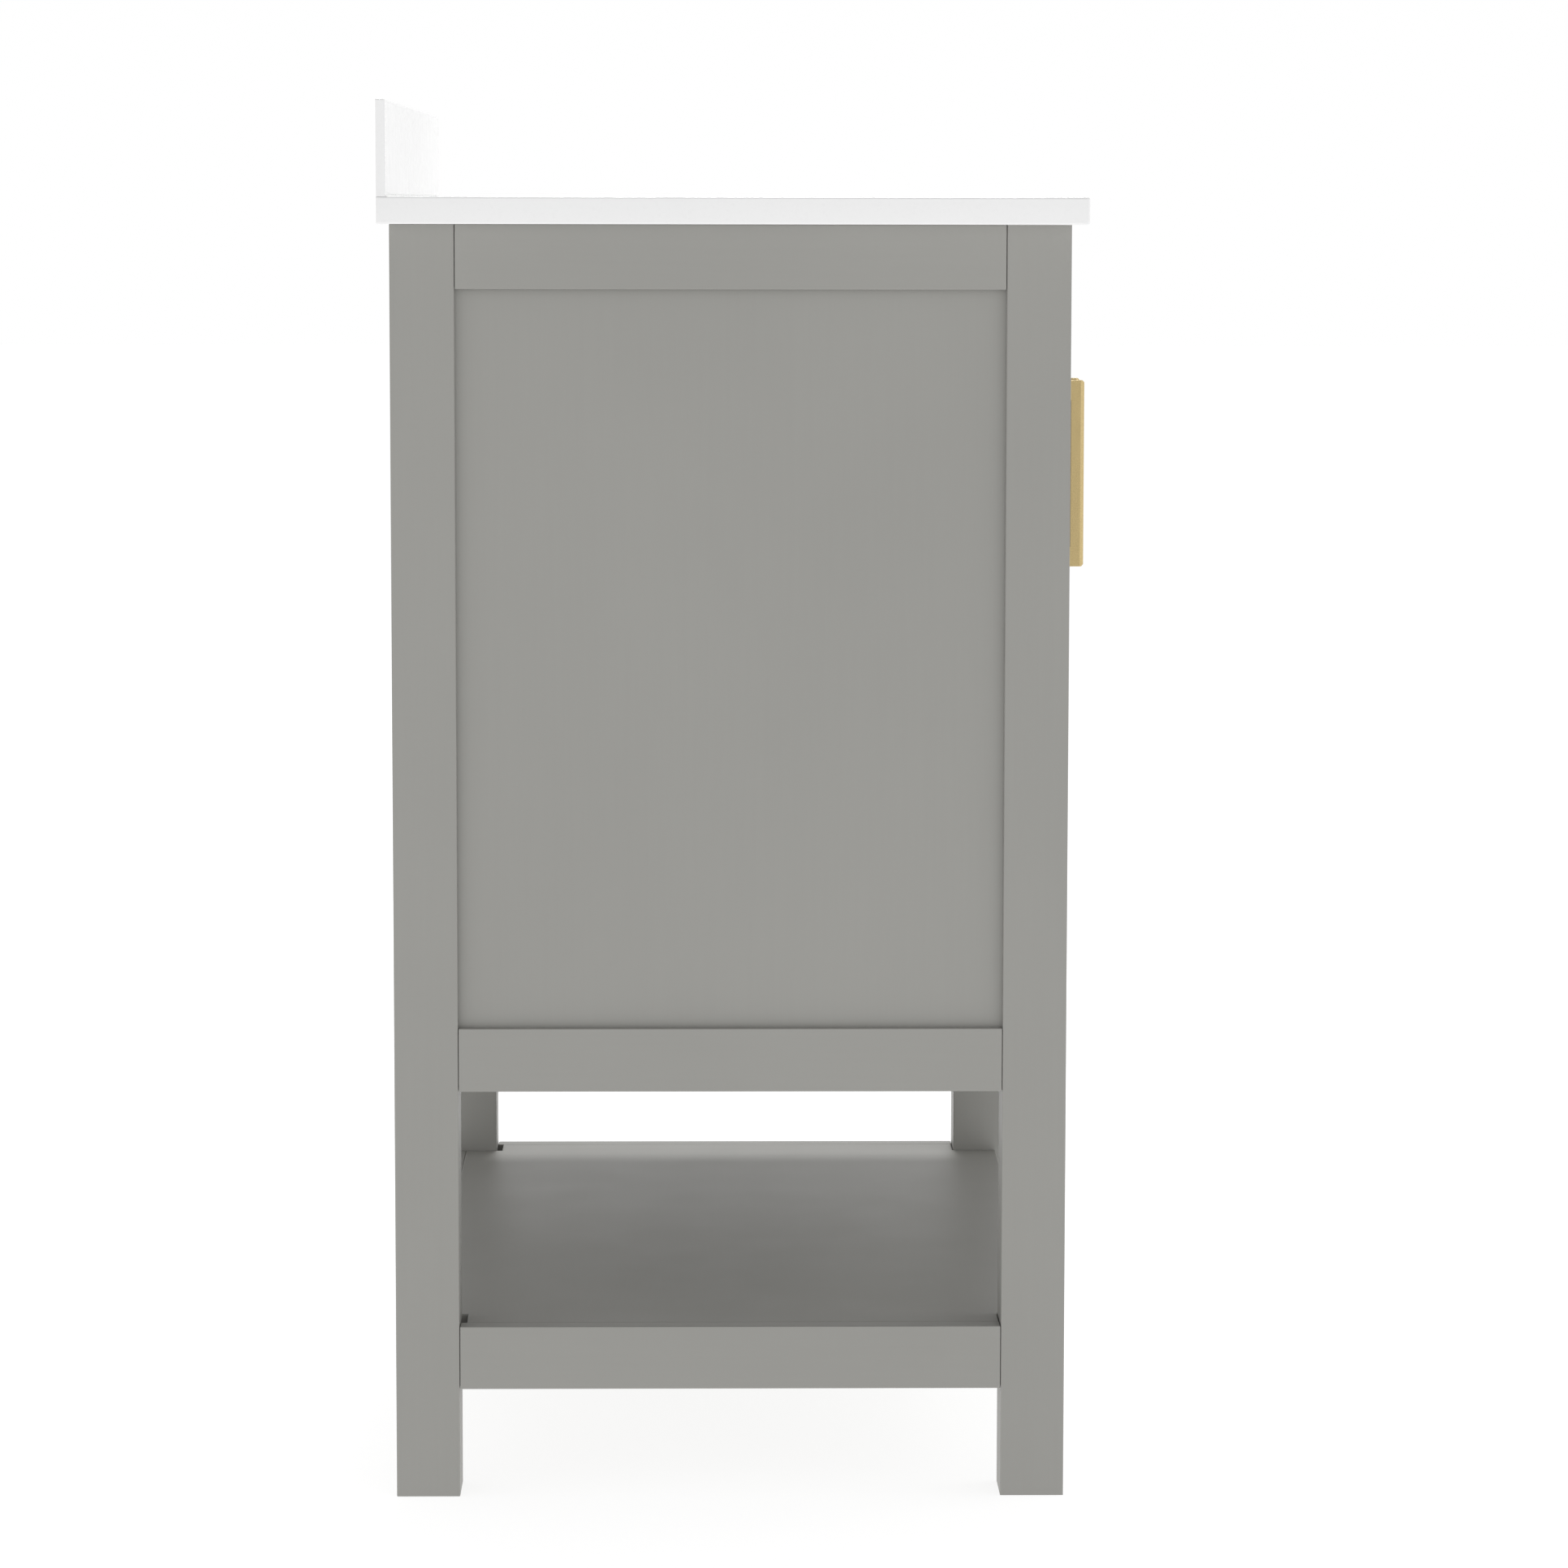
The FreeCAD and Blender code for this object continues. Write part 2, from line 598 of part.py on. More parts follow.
for side in ("left", "right"):
    sign = -1 if side == "left" else 1
    panel = node(board(
        f"door_panel_{side}",
        mirrored((f"{door_outer} + door_frame_wide - door_tongue",
                  f"{door_inner} - door_frame_wide + door_tongue"), side),
        ("front_face + door_panel_recess", "front_face + door_panel_recess + door_panel_thick"),
        (f"{door_low} + door_frame_wide - door_tongue",
         f"{door_high} - door_frame_wide + door_tongue"),
    ), f"door_panel_{side}")

    # pull: an upright bar on two posts, screwed from behind
    pull_middle = sign * size("handle_inset")
    half = size("handle_wide") / 2
    reach = size("front_face") - size("handle_stand")
    low = size("handle_low")
    tall = size("handle_tall")
    body = Part.makeBox(2 * half, size("handle_stand"), tall,
                        Vector(pull_middle - half, reach, low))
    post = size("handle_post_tall")
    gap = Part.makeBox(4 * half, size("handle_stand"), tall - 2 * post,
                       Vector(pull_middle - 2 * half, reach + size("handle_bar_deep"),
                              low + post))
    inner_corners = [
        edge for edge in gap.Edges
        if runs_along(0)(edge) and abs(edge.CenterOfMass.y - gap.BoundBox.YMin) < 0.01
    ]
    gap = gap.makeFillet(size("handle_inner_round"), inner_corners)
    body = body.cut(gap)
    front_edges = [e for e in body.Edges if abs(e.CenterOfMass.y - reach) < 0.01]
    long_edges = [e for e in front_edges if runs_along(2)(e)]
    body = body.makeChamfer(size("handle_front_cut"), long_edges)
    end_edges = [
        e for e in body.Edges
        if abs(e.CenterOfMass.y - reach) < 0.01 and runs_along(0)(e)
    ]
    body = body.makeChamfer(size("handle_end_cut"), end_edges)

    screws = []
    door_back = size("front_face") + size("door_thick")
    for height in (low + post / 2, low + tall - post / 2):
        seat = Vector(pull_middle, door_back, height)
        head = Part.makeCylinder(4, 2.4, seat, Vector(0, 1, 0))
        shank = Part.makeCylinder(size("handle_screw_radius"), size("handle_screw_long"), seat,
                                  Vector(0, -1, 0))
        screws.append(head.fuse(shank).removeSplitter())
    screw_set = node(computed(f"handle_screws_{side}", Part.makeCompound(screws)),
                     f"handle_screws_{side}")
    node(cut(f"handle_{side}", computed(f"handle_blank_{side}", body), screw_set),
         f"handle_{side}")

    # stiles and rails
    upright = (door_low, door_high)
    hinge_blank = board(f"hinge_stile_blank_{side}",
                        mirrored((door_outer, f"{door_outer} + door_frame_wide"), side),
                        door_deep, upright)
    pots = []
    for level in ("hinge_low", "hinge_high"):
        across = f"{leg_inner} + cup_across"
        across = across if side == "left" else f"-({across})"
        pots.append(cylinder(f"cup_pocket_{level}_{side}", "cup_radius", "cup_deep + 10",
                             (across, "front_face + door_thick - cup_deep", level), (0, 1, 0)))
    node(cut(f"hinge_stile_{side}", hinge_blank, panel, *pots,
             hinge_parts["hinge_cup_screws", side]), f"hinge_stile_{side}")
    meeting_blank = board(f"meeting_stile_blank_{side}",
                          mirrored((f"{door_inner} - door_frame_wide", door_inner), side),
                          door_deep, upright)
    node(cut(f"meeting_stile_{side}", meeting_blank, panel, screw_set),
         f"meeting_stile_{side}")
    rail_across = mirrored((f"{door_outer} + door_frame_wide",
                            f"{door_inner} - door_frame_wide"), side)
    for place, tall_span in (
        ("bottom", (door_low, f"{door_low} + door_frame_wide")),
        ("top", (f"{door_high} - door_frame_wide", door_high)),
    ):
        name = f"door_rail_{place}_{side}"
        blank = board(f"{name}_blank", rail_across, door_deep, tall_span)
        node(cut(name, blank, panel), name)

# ---------------------------------------------------------------- check and export
doc.recompute()
problems = []
for obj in doc.Objects:
    if "Invalid" in obj.State or "Error" in obj.State:
        problems.append(f"{obj.Name}: {obj.State}")
for obj in nodes:
    if obj.Shape.isNull() or not obj.Shape.isValid() or not obj.Shape.Solids:
        problems.append(f"{obj.Label}: shape is not valid")
if problems:
    raise RuntimeError("; ".join(problems))

os.makedirs("parts", exist_ok=True)
for obj in nodes:
    obj.Shape.exportStep(f"parts/{obj.Label}.step")
print(len(nodes), "sub-parts written")
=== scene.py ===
import json
import math

import bmesh
import bpy
from mathutils import Matrix, Vector

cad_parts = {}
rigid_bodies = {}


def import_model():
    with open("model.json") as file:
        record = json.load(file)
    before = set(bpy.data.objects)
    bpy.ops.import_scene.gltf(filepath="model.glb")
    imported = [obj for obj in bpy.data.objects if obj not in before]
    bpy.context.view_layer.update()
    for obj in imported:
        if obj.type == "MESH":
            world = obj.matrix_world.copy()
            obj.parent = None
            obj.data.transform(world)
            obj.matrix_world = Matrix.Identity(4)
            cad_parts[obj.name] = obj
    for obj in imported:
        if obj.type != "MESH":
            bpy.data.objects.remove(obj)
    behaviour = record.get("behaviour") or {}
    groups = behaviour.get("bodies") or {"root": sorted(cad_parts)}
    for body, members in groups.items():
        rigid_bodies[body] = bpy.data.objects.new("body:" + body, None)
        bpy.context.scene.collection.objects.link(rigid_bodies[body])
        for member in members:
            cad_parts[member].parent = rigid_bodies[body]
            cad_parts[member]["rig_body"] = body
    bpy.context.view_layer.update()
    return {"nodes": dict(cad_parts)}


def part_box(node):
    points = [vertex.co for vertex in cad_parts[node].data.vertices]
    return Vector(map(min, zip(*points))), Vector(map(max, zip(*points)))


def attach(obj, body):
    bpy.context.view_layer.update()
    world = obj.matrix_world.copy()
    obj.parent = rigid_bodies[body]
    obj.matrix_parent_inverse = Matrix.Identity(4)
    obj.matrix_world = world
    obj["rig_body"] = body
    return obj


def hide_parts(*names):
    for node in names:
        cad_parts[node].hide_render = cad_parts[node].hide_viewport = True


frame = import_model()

nodes = frame["nodes"]
SIDES = {"left": -1, "right": 1}


# ---- Legs --------------------------------------------------------------------------------------
# Four square solid-wood legs with slightly eased corners, sanded and sprayed with a satin grey
# lacquer. Everything else of the frame is glued between them and sprayed with the same paint.

def start_material(name):
    """A new node material, its tree and its main shader."""
    material = bpy.data.materials.new(name)
    material.use_nodes = True
    return material, material.node_tree, material.node_tree.nodes["Principled BSDF"]


def add(tree, kind, values=None, **settings):
    """A new shader node with its settings and its unlinked inputs filled in."""
    made = tree.nodes.new(kind)
    for key, value in settings.items():
        setattr(made, key, value)
    for socket, value in (values or {}).items():
        made.inputs[socket].default_value = value
    return made


def place_texture(tree, stretch=(1, 1, 1), turn=(0, 0, 0)):
    """Object coordinates, stretched so that a pattern can run along one axis."""
    coordinates = add(tree, "ShaderNodeTexCoord")
    mapping = add(tree, "ShaderNodeMapping", {"Scale": stretch, "Rotation": turn})
    tree.links.new(coordinates.outputs["Object"], mapping.inputs["Vector"])
    return mapping.outputs["Vector"]


def noise(tree, vector, scale, detail=3.0, rough=0.5):
    """A noise pattern's value, about 0.5 on average."""
    made = add(tree, "ShaderNodeTexNoise", {"Scale": scale, "Detail": detail, "Roughness": rough})
    tree.links.new(vector, made.inputs["Vector"])
    return made.outputs["Fac"]


def ramp(tree, value, stops):
    """A colour ramp through (position, colour) stops."""
    made = add(tree, "ShaderNodeValToRGB")
    while len(made.color_ramp.elements) < len(stops):
        made.color_ramp.elements.new(1.0)
    for element, (position, colour) in zip(made.color_ramp.elements, stops):
        element.position = position
        element.color = (*colour, 1.0)
    tree.links.new(value, made.inputs["Fac"])
    return made.outputs["Color"]


def spread(tree, value, low, high, start=0.3, end=0.7):
    """A pattern's value brought between two numbers."""
    made = add(tree, "ShaderNodeMapRange",
               {"From Min": start, "From Max": end, "To Min": low, "To Max": high})
    tree.links.new(value, made.inputs["Value"])
    return made.outputs["Result"]


def bump(tree, height, depth, strength=1.0, under=None):
    """A surface relief of a given real depth in metres, on top of another one."""
    made = add(tree, "ShaderNodeBump", {"Strength": strength, "Distance": depth})
    tree.links.new(height, made.inputs["Height"])
    if under is not None:
        tree.links.new(under, made.inputs["Normal"])
    return made.outputs["Normal"]


def scaled(colour, factor):
    """A colour made lighter or darker."""
    return tuple(min(1.0, channel * factor) for channel in colour)


def grey_lacquer(name, grain_axis, colour=(0.330, 0.326, 0.306), gloss=0.46):
    """Sprayed satin lacquer: cloudy tone, orange peel, and wood grain faintly showing through."""
    material, tree, shader = start_material(name)
    plain = place_texture(tree)
    cloud = noise(tree, plain, 3.1, detail=4.0, rough=0.55)
    tone = ramp(tree, cloud, [
        (0.25, scaled(colour, 0.965)), (0.5, colour), (0.78, scaled(colour, 1.03))])
    stretch = [260.0, 260.0, 260.0]
    stretch[grain_axis] = 9.0
    fibres = noise(tree, place_texture(tree, stretch), 1.0, detail=5.0, rough=0.6)
    fibre_tone = spread(tree, fibres, 0.992, 1.006)
    mixed = add(tree, "ShaderNodeMix", {"Factor": 1.0}, data_type="RGBA", blend_type="MULTIPLY")
    tree.links.new(tone, mixed.inputs["A"])
    tree.links.new(fibre_tone, mixed.inputs["B"])
    tree.links.new(mixed.outputs["Result"], shader.inputs["Base Color"])
    peel = noise(tree, plain, 750.0, detail=2.0, rough=0.4)
    relief = bump(tree, fibres, 0.00006, 0.18)
    relief = bump(tree, peel, 0.00008, 0.30, under=relief)
    tree.links.new(relief, shader.inputs["Normal"])
    patches = noise(tree, plain, 17.0, detail=3.0)
    tree.links.new(spread(tree, patches, gloss - 0.015, gloss + 0.02), shader.inputs["Roughness"])
    shader.inputs["Specular IOR Level"].default_value = 0.45
    return material


ALONG_WIDTH, ALONG_DEPTH, UPRIGHT = 0, 1, 2
lacquer = {
    axis: grey_lacquer(f"grey_lacquer_{word}", axis)
    for axis, word in ((ALONG_WIDTH, "along_width"), (ALONG_DEPTH, "along_depth"),
                       (UPRIGHT, "upright"))
}


def ease_edges(piece, width, segments, sharper_than, harden=False):
    """Takes the knife edge off every corner sharper than an angle in degrees."""
    eased = piece.modifiers.new("eased_edges", "BEVEL")
    eased.width = width
    eased.segments = segments
    eased.limit_method = "ANGLE"
    eased.angle_limit = math.radians(sharper_than)
    eased.harden_normals = harden


SAME_FACE = math.radians(0.5)     # facets closer than this in angle are one flat face
SAME_CORNER = 0.00001             # corners closer than this are one corner
PAINTED_EDGE = 0.0006
LEG_EDGE = 0.001


def finish_board(name, material, easing=PAINTED_EDGE):
    """Gives a plain part its finish, joins up its flat faces and eases its edges."""
    board = nodes[name]
    for slot in board.material_slots:
        slot.material = material
    if easing:
        weld = board.modifiers.new("weld", "WELD")
        weld.merge_threshold = SAME_CORNER
        whole_faces = board.modifiers.new("whole_faces", "DECIMATE")
        whole_faces.decimate_type = "DISSOLVE"
        whole_faces.angle_limit = SAME_FACE
        ease_edges(board, easing, 2, 50)


for place in ("front", "rear"):
    for side in SIDES:
        finish_board(f"leg_{place}_{side}", lacquer[UPRIGHT], LEG_EDGE)


# ---- Side rails and side panels ----------------------------------------------------------------
# Each side has three flat rails tenoned between its legs, flush with them, and a thin board held
# in grooves a few millimetres back. Rails and panel are painted before they are put together.

for side in SIDES:
    for level in ("top", "middle", "bottom"):
        finish_board(f"side_rail_{level}_{side}", lacquer[ALONG_DEPTH])
    finish_board(f"side_panel_{side}", lacquer[UPRIGHT], easing=0)


# ---- Front, back and shelf rails ---------------------------------------------------------------
# Flat rails tie the two sides together: above and below the doors, across the back, under the
# front of the open shelf and along its back. The wide top rail at the back has two holes for
# fixing the cabinet to the wall.

for name in ("front_rail_top", "front_rail_middle", "back_rail_top", "back_rail_middle",
             "shelf_rail_front", "shelf_rail_back"):
    finish_board(name, lacquer[ALONG_WIDTH])


# ---- Cabinet floor, shelf and back panel -------------------------------------------------------
# The floor and the open shelf are flat boards notched round the legs. The back is a thin painted
# fibreboard that stands on the floor between the rear legs. It has a rounded cut-out for the pipes
# and small pin heads near its edges.

BOARD_EDGES = {"cabinet_floor": 0.0005, "shelf": 0.0009, "back_panel": 0.0005}
for name, easing in BOARD_EDGES.items():
    finish_board(name, lacquer[ALONG_WIDTH], easing)

PIN_HEAD = 0.0016          # radius of a pin's head
PIN_STEP = 0.062           # from one pin to the next
PIN_INSET = 0.009          # from the panel's edge
PIN_PROUD = 0.0001         # the heads' middles, out from the panel's back
RAIL_MARGIN = 0.012        # the highest pins, below the top rail


def pin_tree():
    """Flat-domed pin heads set at even steps along a path, facing backwards."""
    tree = bpy.data.node_groups.new("panel_pins", "GeometryNodeTree")
    face = tree.interface
    face.new_socket("Geometry", in_out="INPUT", socket_type="NodeSocketGeometry")
    face.new_socket("Step", in_out="INPUT", socket_type="NodeSocketFloat")
    face.new_socket("Head Radius", in_out="INPUT", socket_type="NodeSocketFloat")
    face.new_socket("Finish", in_out="INPUT", socket_type="NodeSocketMaterial")
    face.new_socket("Geometry", in_out="OUTPUT", socket_type="NodeSocketGeometry")
    start = tree.nodes.new("NodeGroupInput")
    end = tree.nodes.new("NodeGroupOutput")
    curve = tree.nodes.new("GeometryNodeMeshToCurve")
    evenly = tree.nodes.new("GeometryNodeResampleCurve")
    evenly.mode = "LENGTH"
    dome = tree.nodes.new("GeometryNodeMeshUVSphere")
    dome.inputs["Segments"].default_value = 14
    dome.inputs["Rings"].default_value = 8
    flat = tree.nodes.new("GeometryNodeTransform")
    flat.inputs["Scale"].default_value = (1.0, 0.35, 1.0)
    put = tree.nodes.new("GeometryNodeInstanceOnPoints")
    real = tree.nodes.new("GeometryNodeRealizeInstances")
    paint = tree.nodes.new("GeometryNodeSetMaterial")
    for source, target in (
        (start.outputs["Geometry"], curve.inputs["Mesh"]),
        (curve.outputs["Curve"], evenly.inputs["Curve"]),
        (start.outputs["Step"], evenly.inputs["Length"]),
        (start.outputs["Head Radius"], dome.inputs["Radius"]),
        (dome.outputs["Mesh"], flat.inputs["Geometry"]),
        (evenly.outputs["Curve"], put.inputs["Points"]),
        (flat.outputs["Geometry"], put.inputs["Instance"]),
        (put.outputs["Instances"], real.inputs["Geometry"]),
        (real.outputs["Geometry"], paint.inputs["Geometry"]),
        (start.outputs["Finish"], paint.inputs["Material"]),
        (paint.outputs["Geometry"], end.inputs["Geometry"]),
    ):
        tree.links.new(source, target)
    return tree


def grown(name, seed_mesh, tree, values):
    """Runs a geometry tree on a seed mesh once and keeps only its plain result."""
    seed = bpy.data.objects.new(f"{name}_seed", seed_mesh)
    bpy.context.scene.collection.objects.link(seed)
    modifier = seed.modifiers.new("grow", "NODES")
    modifier.node_group = tree
    for item in tree.interface.items_tree:
        if item.item_type == "SOCKET" and item.in_out == "INPUT" and item.name in values:
            modifier[item.identifier] = values[item.name]
    bpy.context.view_layer.update()
    evaluated = seed.evaluated_get(bpy.context.evaluated_depsgraph_get())
    mesh = bpy.data.meshes.new_from_object(evaluated)
    bpy.data.objects.remove(seed)
    mesh.name = name
    piece = bpy.data.objects.new(name, mesh)
    bpy.context.scene.collection.objects.link(piece)
    return piece


def zinc(name, colour, rough):
    """Plated steel with a faint mottle in tone and gloss."""
    material, tree, shader = start_material(name)
    plain = place_texture(tree)
    mottle = noise(tree, plain, 420.0, detail=4.0)
    tree.links.new(ramp(tree, mottle, [(0.3, scaled(colour, 0.88)), (0.7, scaled(colour, 1.06))]),
                   shader.inputs["Base Color"])
    tree.links.new(spread(tree, mottle, rough - 0.06, rough + 0.08), shader.inputs["Roughness"])
    tree.links.new(bump(tree, noise(tree, plain, 1500.0), 0.00002, 0.4), shader.inputs["Normal"])
    shader.inputs["Metallic"].default_value = 1.0
    return material


screw_zinc = zinc("screw_zinc", (0.60, 0.60, 0.57), 0.32)
panel_low, panel_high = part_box("back_panel")
pin_left, pin_right = panel_low.x + PIN_INSET, panel_high.x - PIN_INSET
pin_bottom = panel_low.z + PIN_INSET
pin_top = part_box("back_rail_top")[0].z - RAIL_MARGIN
pin_back = panel_high.y + PIN_PROUD
outline = bpy.data.meshes.new("pin_path")
outline.from_pydata(
    [(pin_left, pin_back, pin_top), (pin_left, pin_back, pin_bottom),
     (pin_right, pin_back, pin_bottom), (pin_right, pin_back, pin_top)],
    [(0, 1), (1, 2), (2, 3)], [])
pins = grown("back_panel_pins", outline, pin_tree(),
             {"Step": PIN_STEP, "Head Radius": PIN_HEAD, "Finish": screw_zinc})
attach(pins, "cabinet")


# ---- Corner blocks -----------------------------------------------------------------------------
# Short blocks of bare softwood glued into the frame's upper corners. The top is screwed down to
# the frame through them, from below.

def bare_softwood():
    """Planed, unpainted softwood with growth rings running along its length."""
    material, tree, shader = start_material("bare_softwood")
    rings = add(tree, "ShaderNodeTexWave",
                {"Scale": 46.0, "Distortion": 5.5, "Detail": 3.0, "Detail Scale": 1.2},
                wave_type="RINGS", rings_direction="Y")
    tree.links.new(place_texture(tree, (1.0, 0.16, 1.0)), rings.inputs["Vector"])
    tone = ramp(tree, rings.outputs["Fac"], [
        (0.0, (0.62, 0.43, 0.24)), (0.55, (0.52, 0.34, 0.17)), (1.0, (0.36, 0.21, 0.10))])
    tree.links.new(tone, shader.inputs["Base Color"])
    fibres = noise(tree, place_texture(tree, (420.0, 24.0, 420.0)), 1.0, detail=4.0)
    tree.links.new(bump(tree, fibres, 0.00015, 0.5), shader.inputs["Normal"])
    tree.links.new(spread(tree, fibres, 0.55, 0.72), shader.inputs["Roughness"])
    return material


finish_board("corner_blocks", bare_softwood(), easing=0.0008)


# ---- Door stop and bumpers ---------------------------------------------------------------------
# A stepped strip behind the front top rail stops the doors, and four small clear silicone pads
# stuck to it take the knock.

finish_board("door_stop", lacquer[ALONG_WIDTH])


def soft_silicone(name, colour, rough):
    """Cured silicone: slightly cloudy and softly shiny."""
    material, tree, shader = start_material(name)
    cloud = noise(tree, place_texture(tree), 240.0, detail=3.0)
    tree.links.new(ramp(tree, cloud, [(0.3, scaled(colour, 0.94)), (0.7, colour)]),
                   shader.inputs["Base Color"])
    tree.links.new(spread(tree, cloud, rough - 0.05, rough + 0.06), shader.inputs["Roughness"])
    shader.inputs["Subsurface Weight"].default_value = 0.25
    shader.inputs["Subsurface Radius"].default_value = (0.002, 0.002, 0.002)
    return material


finish_board("door_bumpers", soft_silicone("pad_silicone", (0.62, 0.62, 0.60), 0.32),
             easing=0.0004)


# ---- Stone top and backsplash ------------------------------------------------------------------
# A polished slab of white engineered stone with a rounded hole for the basin and a single tap
# hole. A thin strip of the same stone stands on its back edge, set in a fine bead of silicone.

def white_stone():
    """Polished engineered stone: white, with a very faint cloud and fine pale grains."""
    material, tree, shader = start_material("white_stone")
    plain = place_texture(tree)
    cloud = noise(tree, plain, 7.0, detail=6.0, rough=0.6)
    tone = ramp(tree, cloud, [(0.3, (0.905, 0.905, 0.905)), (0.7, (0.925, 0.925, 0.925))])
    grains = add(tree, "ShaderNodeTexVoronoi", {"Scale": 520.0, "Randomness": 1.0})
    tree.links.new(plain, grains.inputs["Vector"])
    speck = spread(tree, grains.outputs["Color"], 0.985, 1.0, 0.05, 0.35)
    mixed = add(tree, "ShaderNodeMix", {"Factor": 1.0}, data_type="RGBA", blend_type="MULTIPLY")
    tree.links.new(tone, mixed.inputs["A"])
    tree.links.new(speck, mixed.inputs["B"])
    tree.links.new(mixed.outputs["Result"], shader.inputs["Base Color"])
    tree.links.new(spread(tree, noise(tree, plain, 35.0), 0.19, 0.23), shader.inputs["Roughness"])
    tree.links.new(bump(tree, noise(tree, plain, 90.0), 0.00002, 0.2), shader.inputs["Normal"])
    return material


SAME_POINT = 0.000005      # two points this close in a curved part are one


def from_frame(node_name, piece_name, material, sharp=28.0):
    """A joined-up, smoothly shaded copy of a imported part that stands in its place."""
    mesh = nodes[node_name].data.copy()
    mesh.name = piece_name
    work = bmesh.new()
    work.from_mesh(mesh)
    bmesh.ops.remove_doubles(work, verts=work.verts, dist=SAME_POINT)
    bmesh.ops.dissolve_limit(work, angle_limit=SAME_FACE, verts=work.verts,
                             edges=work.edges, use_dissolve_boundaries=False)
    work.to_mesh(mesh)
    work.free()
    for polygon in mesh.polygons:
        polygon.use_smooth = True
        polygon.material_index = 0
    mesh.set_sharp_from_angle(angle=math.radians(sharp))
    mesh.materials.clear()
    mesh.materials.append(material)
    piece = bpy.data.objects.new(piece_name, mesh)
    bpy.context.scene.collection.objects.link(piece)
    return piece


def stands_for(piece, node_name):
    """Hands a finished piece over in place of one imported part, on that part's own body."""
    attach(piece, nodes[node_name]["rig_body"])
    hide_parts(node_name)


stone = white_stone()
for name in ("countertop", "backsplash"):
    piece = from_frame(name, f"{name}_stone", stone)
    stands_for(piece, name)

splash_low, splash_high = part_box("backsplash")
BEAD = 0.0018              # the bead's width and height
BEAD_END = 0.001           # it stops this far inside the strip's ends


def joint_bead():
    """A hollow-faced bead run along the inside corner between the slab and the strip."""
    steps = 8
    profile = [Vector((0, 0, 0))]
    for step in range(steps + 1):
        angle = math.pi / 2 * step / steps
        profile.append(Vector((0, -BEAD + BEAD * math.sin(angle), BEAD - BEAD * math.cos(angle))))
    work = bmesh.new()
    corner = Vector((0, splash_low.y, splash_low.z))
    rings = []
    for across in (splash_low.x + BEAD_END, splash_high.x - BEAD_END):
        rings.append([work.verts.new(corner + point + Vector((across, 0, 0)))
                      for point in profile])
    count = len(profile)
    for index in range(count):
        after = (index + 1) % count
        work.faces.new([rings[0][index], rings[0][after], rings[1][after], rings[1][index]])
    work.faces.new(rings[0])
    work.faces.new(list(reversed(rings[1])))
    bmesh.ops.recalc_face_normals(work, faces=work.faces)
    mesh = bpy.data.meshes.new("backsplash_bead")
    work.to_mesh(mesh)
    work.free()
    mesh.materials.append(soft_silicone("white_silicone", (0.84, 0.84, 0.83), 0.30))
    bead = bpy.data.objects.new("backsplash_bead", mesh)
    bpy.context.scene.collection.objects.link(bead)
    return bead


bead = joint_bead()
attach(bead, "cabinet")


# ---- Basin -------------------------------------------------------------------------------------
# An undermount basin of glazed white ceramic: a flat flange glued and clipped under the slab, a
# tapering bowl, an overflow slot at the back and a drain hole in the middle.

def glazed_ceramic():
    """White glaze over fired clay: very smooth, with the slight waviness of a glaze."""
    material, tree, shader = start_material("glazed_ceramic")
    plain = place_texture(tree)
    cloud = noise(tree, plain, 9.0, detail=3.0)
    tree.links.new(ramp(tree, cloud, [(0.3, (0.83, 0.83, 0.82)), (0.7, (0.87, 0.87, 0.865))]),
                   shader.inputs["Base Color"])
    tree.links.new(spread(tree, cloud, 0.06, 0.10), shader.inputs["Roughness"])
    tree.links.new(bump(tree, noise(tree, plain, 28.0, detail=1.0), 0.0002, 0.12),
                   shader.inputs["Normal"])
    shader.inputs["Coat Weight"].default_value = 0.4
    shader.inputs["Coat Roughness"].default_value = 0.04
    return material


stands_for(from_frame("basin", "basin_ceramic", glazed_ceramic(), sharp=40.0), "basin")
stands_for(from_frame("basin_clips", "basin_clips_steel", screw_zinc), "basin_clips")


# ---- Screws ------------------------------------------------------------------------------------
# Plated steel screws hold the blocks, clips, pulls and hinges. Each has a cross recess in its
# head: pan heads under the top and on the pulls, flat countersunk heads in the hinges.

RECESS_LONG, RECESS_THIN, RECESS_DEEP = 0.0034, 0.0008, 0.0024


def socket_list(tree, names, kind, way="INPUT"):
    """Adds named sockets to a geometry tree's outside."""
    for name in names:
        tree.interface.new_socket(name, in_out=way, socket_type=kind)


